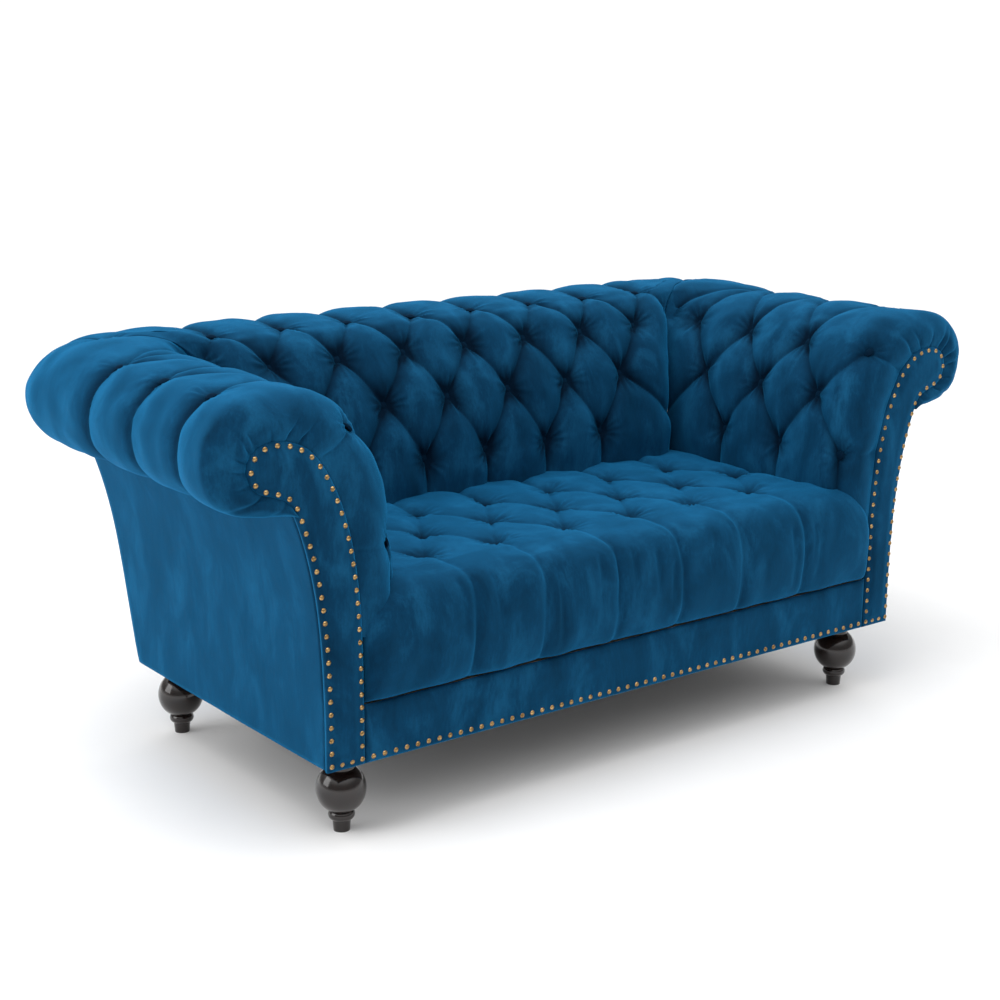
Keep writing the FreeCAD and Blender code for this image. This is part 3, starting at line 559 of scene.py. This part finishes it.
def seat_pad(seed):
    """Millimetre grid of the seat from its front seam over the nose to the back."""
    nose = through(SEAT_FRONT, np.linspace(0, len(SEAT_FRONT) - 1, 400))
    line = np.concatenate([nose, [(y, SEAT_TOP) for y in np.linspace(NOSE_TOP, SEAT_FLAT_TO, 90)],
                           [(SEAT_FLAT_TO + 8, SEAT_TOP - 20)]])
    run = run_length(line)
    steps = np.linspace(0, run[-1], whole_cells(run[-1], GRID))
    line = np.stack([np.interp(steps, run, line[:, k]) for k in (0, 1)], -1)
    x = np.linspace(-SEAT_HALF, SEAT_HALF, whole_cells(2 * SEAT_HALF, GRID * 1.25))
    u = np.repeat(steps[:, None], len(x), axis=1)
    v = np.repeat(x[None, :], len(steps), axis=0)
    away = np.abs(v)
    inner = np.interp(line[:, 0], [0, 40, 110], [500, 488, 446])[:, None]
    outer = np.interp(line[:, 0], [0, 40, 110], [SEAT_HALF, SEAT_HALF, 530])[:, None]
    x_share = np.clip((away - inner) / (outer - inner), 0, 1)
    top = SEAT_TOP - (SEAT_TOP - SEAT_SIDE) * (1 - np.sqrt(1 - x_share ** 2 * 0.999))
    lift = (line[:, 1:] - SEAT_SEAM) / (SEAT_TOP - SEAT_SEAM)
    z = SEAT_SEAM + lift * (top - SEAT_SEAM)
    edge = np.clip((SEAT_HALF - away) / SEAT_EDGE, 0, 1)
    y = line[:, :1] + (8.0 - np.minimum(line[:, :1], 8.0)) * (1 - bulge(edge))
    p = np.stack([v, y, z], -1)
    outward = outward_normals(p, (0, -1, 0.5))
    tufting = Tufting(seed)
    upper = steps > 150
    nose_top = float(np.interp(NOSE_TOP, line[:, 0][upper], steps[upper]))
    at = {name: nose_top + depth - NOSE_TOP for name, depth in SEAT_ROWS.items()}
    outer_row = [SEAT_PITCH * (i + 0.5) for i in range(-3, 3)]
    inner_row = [SEAT_PITCH * i for i in range(-3, 4)]
    rows = {"front": outer_row, "middle": inner_row, "rear": outer_row}
    for name, places in rows.items():
        for place in places:
            tufting.button(at[name], place, 9.0, 22.0, 1.3)
    for low, high in (("front", "middle"), ("middle", "rear")):
        for a in rows[low]:
            for b in rows[high]:
                if abs(a - b) < SEAT_PITCH * 0.6:
                    tufting.fold((at[low], a), (at[high], b), 6.5, 48.0,
                                 0.2 if b > a else -0.2, sag=0.35, crease=0.7)
    random = tufting.random
    for place in outer_row:
        knee = (172 + random.uniform(-10, 10), place + random.uniform(-3, 7))
        foot = (-4, knee[1] + random.uniform(-6, 6))
        tufting.fold((at["front"], place), knee, 5.0, 30.0, 0.35, 0.35, crease=0.7)
        tufting.fold(knee, foot, 4.0, 20.0, 0.4, 0.2, crease=0.9)
        for _ in range(3):
            top = (random.uniform(120, 185), place + random.uniform(-58, 58))
            low = (top[0] - random.uniform(50, 130), top[1] + random.uniform(-8, 8))
            tufting.fold(top, low, 2.0, 12.0, 0.4, 0.6, crease=0.5)
        tufting.fold((at["rear"], place), (steps[-1], place), 6.0, 34.0, 0.2, crease=0.7)
    for side in (1, -1):
        tufting.fold((at["middle"], side * 432), (at["middle"] - 30, side * 560), 5.0, 26.0, 0.2)
    keep = np.clip((steps[:, None] + 0 * v) / 14.0, 0.25, 1) * np.clip(edge * 2, 0.2, 1)
    surface, hollow = raised(p, outward, tufting, u, v, keep)
    return surface, outward, hollow


# ---- facings and panels ---------------------------------------------------------
FACING_EDGE = 6.0           # the facing's edge stands this far outside its nails
FACING_THICK = 10.0
FACING_BACK = 9.8           # depth of its flat rear side
FACING_SPACING = 4.0
FAR = 1e9                   # further than anything in the scene


def facing_outline(spacing):
    keys = np.linspace(0, len(NAIL_LINE) - 1, 1200)
    line = offset_line(through(NAIL_LINE, keys), FACING_EDGE)
    run = run_length(line)
    steps = np.linspace(0, run[-1], int(run[-1] / spacing) + 1)
    return np.stack([np.interp(steps, run, line[:, k]) for k in (0, 1)], -1)


def distance_to(points, closed):
    """Each point's distance from a closed outline."""
    nearest = np.full(len(points), FAR)
    for a, b in zip(closed[:-1], closed[1:]):
        ab = b - a
        t = np.clip(((points - a) @ ab) / max(ab @ ab, 1e-12), 0, 1)
        nearest = np.minimum(nearest, np.linalg.norm(points - a - t[:, None] * ab, axis=1))
    return nearest


def filled_outline(name, outline, spacing, front, thickness):
    """A padded board: a filled outline whose face rises from front(distance to edge)."""
    closed = np.concatenate([outline, outline[:1]])
    low, high = outline.min(0), outline.max(0)
    xs = np.arange(low[0] + spacing / 2, high[0], spacing)
    zs = np.arange(low[1] + spacing / 2, high[1], spacing)
    grid = np.stack(np.meshgrid(xs, zs, indexing="ij"), -1).reshape(-1, 2)
    inside = np.zeros(len(grid), bool)
    for a, b in zip(closed[:-1], closed[1:]):
        crosses = (a[1] > grid[:, 1]) != (b[1] > grid[:, 1])
        if abs(b[1] - a[1]) > 1e-9:
            at = (b[0] - a[0]) * (grid[:, 1] - a[1]) / (b[1] - a[1]) + a[0]
            inside ^= crosses & (grid[:, 0] < at)
    grid = grid[inside & (distance_to(grid, closed) > spacing * 0.45)]
    points = [Vector(q) for q in np.concatenate([outline, grid])]
    count = len(outline)
    edges = [(i, (i + 1) % count) for i in range(count)]
    verts, _, faces, _, _, _ = delaunay_2d_cdt(points, edges, [list(range(count))], 1, 1e-5)
    flat = np.array([(q.x, q.y) for q in verts])
    depth = front(distance_to(flat, closed))
    p = np.stack([flat[:, 0], depth, flat[:, 1]], -1)
    mesh = bpy.data.meshes.new(name)
    mesh.from_pydata(to_frame(p).tolist(), [], [list(f) for f in faces])
    piece = link(bpy.data.objects.new(name, mesh))
    bm = bmesh.new()
    bm.from_mesh(mesh)
    bmesh.ops.recalc_face_normals(bm, faces=bm.faces)
    if sum(f.normal.y for f in bm.faces) > 0:
        bmesh.ops.reverse_faces(bm, faces=bm.faces)
    rim = [e for e in bm.edges if e.is_boundary]
    made = bmesh.ops.extrude_edge_only(bm, edges=rim)
    moved = [g for g in made["geom"] if isinstance(g, bmesh.types.BMVert)]
    for q in moved:
        q.co.y = FRONT + thickness * MM
    bmesh.ops.recalc_face_normals(bm, faces=bm.faces)
    back = [e for e in bm.edges if e.is_boundary]
    bmesh.ops.edgeloop_fill(bm, edges=back)
    bmesh.ops.recalc_face_normals(bm, faces=bm.faces)
    for f in bm.faces:
        f.smooth = True
    bm.to_mesh(mesh)
    bm.free()
    return piece


def facing_front(away):
    """Depth of a facing's velvet: rolled over at its edge, level at the nails, crowned."""
    edge = 3.2 * np.exp(-away / 1.6)
    crown = 3.2 * smoothstep(away, 7.5, 22.0)
    return edge - crown


# ---- outside panels ---------------------------------------------------------------
PANEL_THICK = 3.0
PANEL_LOW, PANEL_HIGH = 131.0, 546.0     # the panels end inside the rolls
BACK_FOOT, BACK_HEAD = 621.0, 704.0      # depth of the back panel at its two ends
BACK_BOW = 13.0             # the back panel's curve, fullest low down
DUST_HEIGHT, DUST_SAG, DUST_THICK = 129.6, 1.0, 0.8


def panel_line():
    """x and height up the outside of an arm, from its foot to under the roll."""
    keys = np.linspace(len(NAIL_LINE) - 1, 12, 300)
    fine = offset_line(through(NAIL_LINE, keys), -FACING_EDGE)
    keep = (fine[:, 1] > PANEL_LOW) & (fine[:, 1] < PANEL_HIGH)
    fine = fine[keep]
    run = run_length(fine)
    steps = np.linspace(0, run[-1], 61)
    return np.stack([np.interp(steps, run, fine[:, k]) for k in (0, 1)], -1)


def back_depth(z):
    t = (z - PANEL_LOW) / (PANEL_HIGH - PANEL_LOW)
    bow = np.sin(np.pi * np.clip(t, 0, 1) ** 0.7)
    return BACK_FOOT + (BACK_HEAD - BACK_FOOT) * t + BACK_BOW * bow


def slack(across, up, seed):
    """Slight unevenness of velvet pulled over board, in mm. across and up are in mm."""
    random = np.random.default_rng(seed)
    total = np.zeros_like(across)
    for _ in range(12):
        length = random.uniform(90, 320)
        turn, phase = random.uniform(0, 2 * math.pi, 2)
        place = across * math.cos(turn) + up * math.sin(turn)
        total += np.sin(place * 2 * math.pi / length + phase)
    return total * 0.16


def make_panels():
    """The velvet on the outside of the arms and the back, and the dust cloth below."""
    line = panel_line()
    depths = np.linspace(0, 1, 73)[None, :]
    rear = back_depth(line[:, 1])[:, None] + 1.0
    y = FACING_THICK + 0.5 + (rear - FACING_THICK - 0.5) * depths
    x = line[:, :1] + 0 * y
    z = line[:, 1:] + 0 * y
    soft = np.sin(np.pi * depths) ** 0.5
    x = x + slack(y, z, 21) * soft - 1.0 + 2.2 * soft
    p = np.stack([x, y, z], -1)
    right = closed_pad("outside_arm_right", p, outward_normals(p, (1, 0, 0)), PANEL_THICK)
    left = mirror_copy(right, "outside_arm_left")
    for piece, side in ((right, "right"), (left, "left")):
        dress(piece, "panel_velvet", "outside_arm_panel_" + side)
    across = np.linspace(-1, 1, 121)[None, :]
    half = line[:, :1] - 1.5
    x = half * across
    z = line[:, 1:] + 0 * x
    y = back_depth(z) + (slack(x, z, 22) + 1.5) * (1 - across ** 8)
    p = np.stack([x, y, z], -1)
    back = closed_pad("outside_back", p, outward_normals(p, (0, 1, 0)), PANEL_THICK)
    dress(back, "panel_velvet", "outside_back_panel")
    lo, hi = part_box("dust_cover")
    x0, y0, x1, y1 = lo[0] / MM, (lo[1] - FRONT) / MM, hi[0] / MM, (hi[1] - FRONT) / MM
    x, y = np.meshgrid(np.linspace(x0, x1, 97), np.linspace(y0, y1, 49), indexing="ij")
    sag = DUST_SAG * np.sin(np.pi * (x - x0) / (x1 - x0))
    z = DUST_HEIGHT - sag * np.sin(np.pi * (y - y0) / (y1 - y0))
    p = np.stack([x, y, z], -1)
    dust = closed_pad("dust_cloth", p, np.zeros_like(p) + [0, 0, -1], DUST_THICK)
    dress(dust, "dust_cloth", "dust_cover")


# ---- materials ------------------------------------------------------------------
class Nodes:
    """Short-hand for building one material's nodes."""

    def __init__(self, name):
        self.material = bpy.data.materials.new(name)
        self.material.use_nodes = True
        self.tree = self.material.node_tree
        self.shader = self.tree.nodes["Principled BSDF"]
        self.where = self.add("ShaderNodeTexCoord").outputs["Object"]

    def add(self, kind, **settings):
        node = self.tree.nodes.new(kind)
        for key, value in settings.items():
            setattr(node, key, value)
        return node

    def link(self, source, target):
        self.tree.links.new(source, target)

    def scaled(self, scale, turn=(0, 0, 0)):
        mapping = self.add("ShaderNodeMapping")
        mapping.inputs["Scale"].default_value = scale
        mapping.inputs["Rotation"].default_value = turn
        self.link(self.where, mapping.inputs["Vector"])
        return mapping.outputs["Vector"]

    def noise(self, scale, detail=4.0, rough=0.5, vector=None, distort=0.0):
        node = self.add("ShaderNodeTexNoise")
        node.inputs["Scale"].default_value = scale
        node.inputs["Detail"].default_value = detail
        node.inputs["Roughness"].default_value = rough
        node.inputs["Distortion"].default_value = distort
        self.link(vector or self.where, node.inputs["Vector"])
        return node.outputs["Fac"]

    def ramp(self, value, *stops):
        node = self.add("ShaderNodeValToRGB")
        while len(node.color_ramp.elements) < len(stops):
            node.color_ramp.elements.new(0.5)
        for element, (at, colour) in zip(node.color_ramp.elements, stops):
            element.position = at
            element.color = (*colour, 1)
        self.link(value, node.inputs["Fac"])
        return node.outputs["Color"]

    def span(self, value, low, high, low_to, high_to):
        node = self.add("ShaderNodeMapRange")
        for key, number in (("From Min", low), ("From Max", high), ("To Min", low_to),
                            ("To Max", high_to)):
            node.inputs[key].default_value = number
        self.link(value, node.inputs["Value"])
        return node.outputs["Result"]

    def math(self, operation, a, b):
        node = self.add("ShaderNodeMath", operation=operation)
        for socket, value in zip(node.inputs, (a, b)):
            if hasattr(value, "links"):
                self.link(value, socket)
            else:
                socket.default_value = value
        return node.outputs[0]

    def mix(self, share, a, b, blend="MIX"):
        node = self.add("ShaderNodeMix", data_type="RGBA", blend_type=blend)
        for socket, value in ((node.inputs["Factor"], share), (node.inputs[6], a),
                              (node.inputs[7], b)):
            if hasattr(value, "links"):
                self.link(value, socket)
            elif isinstance(value, tuple):
                socket.default_value = (*value, 1)
            else:
                socket.default_value = value
        return node.outputs[2]

    def bump(self, height, distance, strength=1.0, before=None):
        node = self.add("ShaderNodeBump")
        node.inputs["Distance"].default_value = distance
        node.inputs["Strength"].default_value = strength
        self.link(height, node.inputs["Height"])
        if before is not None:
            self.link(before, node.inputs["Normal"])
        return node.outputs["Normal"]

    def set(self, **values):
        for key, value in values.items():
            socket = self.shader.inputs[key.replace("_", " ")]
            if hasattr(value, "links"):
                self.link(value, socket)
            else:
                socket.default_value = value
        return self.material


VELVET_DARK = (0.0015, 0.019, 0.045)
VELVET_MID = (0.003, 0.038, 0.09)
VELVET_LIGHT = (0.008, 0.085, 0.185)
# painted sheen colour, mixed in where the velvet turns away from the view
VELVET_PAINTED_SHEEN = (0.012, 0.17, 0.38)
# painted shade colour for the dips and folds
VELVET_PAINTED_PIT_SHADE = (0.0005, 0.005, 0.014)
VELVET_SHEEN = (0.02, 0.40, 0.85, 1)


def velvet(name, streak=(60, 60, 14), painted_shade=0.0):
    """Short-pile velvet with brushed marks, dark face on; where it turns away from the view it
    lightens by its sheen and by a painted sheen, and painted shade darkens its dips and folds.
    A last argument above 0 darkens it all with painted shade, for the small parts that lie in pits."""
    n = Nodes(name)
    brushed = n.noise(1.0, 5, 0.6, n.scaled((16, 16, 7)), 0.5)
    streaks = n.noise(5.0, 5, 0.65, n.scaled(streak), 0.3)
    mottle = n.noise(420.0, 2, 0.5)
    lie = n.math("ADD", n.math("MULTIPLY", brushed, 0.8), n.math("MULTIPLY", streaks, 0.2))
    colour = n.ramp(lie, (0.30, VELVET_DARK), (0.5, VELVET_MID), (0.70, VELVET_LIGHT))
    colour = n.mix(n.span(mottle, 0.35, 0.7, 0.0, 0.15), colour, VELVET_DARK)
    # Painted sheen: the base colour is lightened to a pale blue where the surface turns away from the
    # view.
    facing = n.add("ShaderNodeLayerWeight")
    facing.inputs["Blend"].default_value = 0.30
    colour = n.mix(n.span(facing.outputs["Facing"], 0.1, 1.0, 0.0, 0.6), colour, VELVET_PAINTED_SHEEN)
    # Painted shade: dips and folds are darkened towards near-black by how hollow they are.
    hollow = n.add("ShaderNodeAttribute", attribute_name="hollow").outputs["Fac"]
    pit_shade_share = n.math("ADD", n.span(hollow, 0.22, 0.8, 0.0, 0.95), painted_shade)
    colour = n.mix(pit_shade_share, colour, VELVET_PAINTED_PIT_SHADE)
    pile = n.bump(n.noise(1500.0, 2, 0.6), 0.0006, 0.5)
    soft = n.bump(brushed, 0.0015, 0.4, n.bump(streaks, 0.0008, 0.4, pile))
    return n.set(Base_Color=colour, Roughness=n.span(streaks, 0.3, 0.7, 0.72, 0.9),
                 Sheen_Weight=0.36 * (1 - painted_shade), Sheen_Roughness=0.35,
                 Sheen_Tint=VELVET_SHEEN, Specular_IOR_Level=0.03, Normal=soft)


def leg_lacquer():
    n = Nodes("espresso_lacquer")
    rings = n.noise(9.0, 6, 0.6, n.scaled((14, 14, 1.5)), 1.2)
    pores = n.noise(260.0, 3, 0.6, n.scaled((6, 6, 0.5)))
    colour = n.ramp(rings, (0.3, (0.003, 0.0016, 0.0014)), (0.6, (0.010, 0.0042, 0.003)),
                    (0.8, (0.02, 0.008, 0.005)))
    return n.set(Base_Color=colour, Roughness=n.span(pores, 0.35, 0.65, 0.10, 0.2),
                 Coat_Weight=0.5, Coat_Roughness=0.06, Specular_IOR_Level=0.4,
                 Normal=n.bump(pores, 0.0002, 0.3))


def raw_wood(name, light, dark):
    n = Nodes(name)
    grain = n.noise(6.0, 6, 0.6, n.scaled((3, 30, 30)), 1.6)
    fleck = n.noise(300.0, 3, 0.6, n.scaled((0.4, 4, 4)))
    colour = n.ramp(grain, (0.3, dark), (0.7, light))
    colour = n.mix(n.span(fleck, 0.5, 0.75, 0.0, 0.35), colour, dark)
    return n.set(Base_Color=colour, Roughness=0.68, Normal=n.bump(fleck, 0.0004, 0.4))


def antique_brass():
    n = Nodes("antique_brass")
    wear = n.noise(240.0, 5, 0.65)
    dents = n.noise(700.0, 3, 0.6)
    colour = n.ramp(wear, (0.32, (0.12, 0.065, 0.025)), (0.52, (0.40, 0.25, 0.10)),
                    (0.75, (0.68, 0.46, 0.22)))
    return n.set(Base_Color=colour, Metallic=1.0, Roughness=n.span(wear, 0.3, 0.7, 0.42, 0.24),
                 Normal=n.bump(dents, 0.0002, 0.35))


def steel():
    n = Nodes("spring_steel_finish")
    mottle = n.noise(160.0, 4, 0.6)
    colour = n.ramp(mottle, (0.3, (0.18, 0.18, 0.19)), (0.7, (0.42, 0.43, 0.45)))
    return n.set(Base_Color=colour, Metallic=1.0, Roughness=n.span(mottle, 0.3, 0.7, 0.5, 0.32))


def woven(name, base, thread, scale, drop):
    """Plain weave from two crossed waves, with the colour lower between threads."""
    n = Nodes(name)
    waves = []
    for direction in ("X", "Y"):
        wave = n.add("ShaderNodeTexWave", bands_direction=direction)
        wave.inputs["Scale"].default_value = scale
        wave.inputs["Distortion"].default_value = 0.4
        n.link(n.where, wave.inputs["Vector"])
        waves.append(wave.outputs["Fac"])
    weave = n.math("MULTIPLY", *waves)
    colour = n.mix(n.span(weave, 0.1, 0.7, 0.0, 1.0), base, thread)
    return n.set(Base_Color=colour, Roughness=0.9, Sheen_Weight=0.2, Normal=n.bump(weave, drop, 0.6))


MATERIALS = {
    "velvet": velvet("velvet_pile"),
    "panel_velvet": velvet("velvet_pile_flat", (40, 40, 11)),
    "leg_wood": leg_lacquer(),
    "nail_brass": antique_brass(),
    "spring_steel": steel(),
    "hardwood": raw_wood("raw_hardwood", (0.46, 0.29, 0.15), (0.26, 0.14, 0.06)),
    "plywood": raw_wood("raw_plywood", (0.58, 0.42, 0.24), (0.38, 0.24, 0.12)),
    "foam": woven("foam_cells", (0.72, 0.66, 0.48), (0.8, 0.75, 0.58), 190.0, 0.0006),
    "jute": woven("jute_weave", (0.24, 0.17, 0.09), (0.5, 0.38, 0.22), 260.0, 0.0008),
    "lining": woven("lining_weave", (0.5, 0.46, 0.38), (0.62, 0.58, 0.5), 420.0, 0.0003),
    "dust_cloth": woven("dust_cloth_weave", (0.012, 0.012, 0.013), (0.03, 0.03, 0.032), 520.0, 0.0003),
}


# A copy of the velvet darkened with painted shade, for the buttons that sit in the pits.
BUTTON_VELVET_PAINTED_SHADE = velvet("velvet_pile_buttons", (60, 60, 14), 0.88)


def dress(piece, slot, *nodes):
    """Gives a piece the material for its slot, puts it under its body and hides the CAD nodes it
    stands for.
    """
    piece.data.materials.clear()
    piece.data.materials.append(MATERIALS[slot])
    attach(piece, "root")
    if nodes:
        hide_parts(*nodes)
    return piece


PAD_SHELL = 28.0            # a pad's face to its hidden side, where it has no dip
EDGE_SHELL = 3.0            # the same at a pad's edges
EDGE_CELLS = 3              # hidden cells over which the one turns into the other


# ---- pieces -----------------------------------------------------------------------
def below_dips(hollow):
    """Depth of a pad's hidden side: level under the dips, and thin along its edges."""
    rows, cols = (np.minimum(np.arange(n), np.arange(n)[::-1]) / (EDGE_CELLS * BACKING)
                  for n in hollow.shape)
    inside = np.clip(np.minimum(rows[:, None], cols[None, :]), 0, 1)
    return (EDGE_SHELL + (PAD_SHELL - EDGE_SHELL - HOLLOW_FULL * hollow) * inside)[..., None]


def make_pads():
    surface, outward, hollow = arm_pad(3)
    arm = closed_pad("arm_velvet_right", surface, outward, below_dips(hollow), hollow)
    other = mirror_copy(arm, "arm_velvet_left")
    for piece, side in ((arm, "right"), (other, "left")):
        dress(piece, "velvet", "arm_cover_" + side, "arm_foam_" + side)
    surface, outward, hollow = back_pad(5)
    back = closed_pad("back_velvet", surface, outward, below_dips(hollow), hollow)
    dress(back, "velvet", "back_cover", "back_foam")
    surface, outward, hollow = seat_pad(9)
    seat = closed_pad("seat_velvet", surface, outward, below_dips(hollow), hollow)
    dress(seat, "velvet", "seat_cover", "seat_foam")


def make_facings():
    right = filled_outline("facing_velvet_right", facing_outline(FACING_SPACING),
                           FACING_SPACING, facing_front, FACING_BACK)
    left = mirror_copy(right, "facing_velvet_left")
    for piece, side in ((right, "right"), (left, "left")):
        dress(piece, "panel_velvet", "arm_facing_" + side)


RAIL_ROLL = 4.0             # how far the rail cover rolls back at its edges
RAIL_CROWN = 1.6            # and how far it is padded forward above its nails


def make_rail_cover():
    lo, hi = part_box("front_rail_cover")
    x0, x1, z0, z1 = (v / MM for v in (lo[0], hi[0], lo[2], hi[2]))
    xs = np.linspace(x0, x1, 283)
    zs = np.linspace(z0, z1, 31)
    away = np.minimum.reduce([np.minimum(xs - x0, x1 - xs)[None, :] + 0 * zs[:, None],
                              (zs - z0)[:, None] + 0 * xs[None, :],
                              (z1 - zs)[:, None] + 0 * xs[None, :]])
    high_up = smoothstep((zs - z0)[:, None] + 0 * xs, 22, 60)
    inward = smoothstep(away, 0.0, 16.0)
    y = RAIL_ROLL * np.exp(-away / 1.8) - RAIL_CROWN * high_up * inward
    p = np.stack([xs[None, :] + 0 * y, y, zs[:, None] + 0 * y], -1)
    piece = closed_pad("rail_velvet", p, outward_normals(p, (0, -1, 0)), 2.0)
    dress(piece, "panel_velvet", "front_rail_cover")


def carry_over():
    """Finishes for the CAD nodes that stay as they are."""
    slots = {s["node"]: s["material_slot"] for s in frame["record"]["subparts"]}
    for name, node in frame["nodes"].items():
        node.data.materials.clear()
        buttons = name.endswith("_buttons") or "_buttons_" in name
        # Buttons take the velvet copy darkened with painted shade.
        node.data.materials.append(BUTTON_VELVET_PAINTED_SHADE if buttons else MATERIALS[slots[name]])


# ---- scene ------------------------------------------------------------------------
def make_floor():
    bpy.ops.mesh.primitive_plane_add(size=60, location=(0, 0, 0))
    floor = bpy.context.object
    floor.name = "floor"
    n = Nodes("pale_floor")
    colour = n.ramp(n.noise(3.0, 3, 0.5), (0.3, (0.90, 0.90, 0.90)), (0.7, (0.93, 0.93, 0.93)))
    floor.data.materials.append(n.set(Base_Color=colour, Roughness=0.9))


SKY = 1.45


def make_light(name, place, target, size, power):
    data = bpy.data.lights.new(name, "AREA")
    data.shape = "RECTANGLE"
    data.size, data.size_y = size
    data.energy = power
    lamp = link(bpy.data.objects.new(name, data))
    lamp.location = place
    lamp.rotation_euler = (Vector(target) - Vector(place)).to_track_quat("-Z", "Y").to_euler()


def make_lights():
    """A white studio: bright overhead, dimmer from the sides, white at the horizon."""
    world = bpy.data.worlds.new("studio")
    world.use_nodes = True
    tree = world.node_tree
    where = tree.nodes.new("ShaderNodeTexCoord")
    split = tree.nodes.new("ShaderNodeSeparateXYZ")
    tree.links.new(where.outputs["Generated"], split.inputs[0])
    ramp = tree.nodes.new("ShaderNodeValToRGB")
    stops = ((0.0, 1.1), (0.05, 1.1), (0.1, 0.3), (0.4, 0.45), (0.65, SKY), (1.0, SKY))
    while len(ramp.color_ramp.elements) < len(stops):
        ramp.color_ramp.elements.new(0.5)
    for element, (at, level_here) in zip(ramp.color_ramp.elements, stops):
        element.position = at
        element.color = (level_here, level_here, level_here, 1)
    tree.links.new(split.outputs["Z"], ramp.inputs["Fac"])
    tree.links.new(ramp.outputs["Color"], tree.nodes["Background"].inputs["Color"])
    bpy.context.scene.world = world
    make_light("key", (-1.2, -0.6, 3.6), (0, 0, 0.4), (2.4, 2.4), 45)
    make_light("side", (-3.6, 0.9, 1.6), (0, 0, 0.5), (2.0, 2.0), 40)


def make_camera():
    """The view of the sofa from its left front corner, a little above."""
    data = bpy.data.cameras.new("camera")
    data.sensor_width = 36.0
    data.lens = 65.2
    camera = link(bpy.data.objects.new("camera", data))
    camera.location = (-1.9458, -2.1470 + FRONT, 1.1841)
    camera.rotation_euler = (math.radians(90 - 14.13), math.radians(-0.26), math.radians(-37.37))
    bpy.context.scene.camera = camera
    bpy.context.scene.view_settings.view_transform = "Standard"


make_camera()
make_lights()
make_floor()
carry_over()
make_pads()
make_facings()
make_rail_cover()
make_panels()
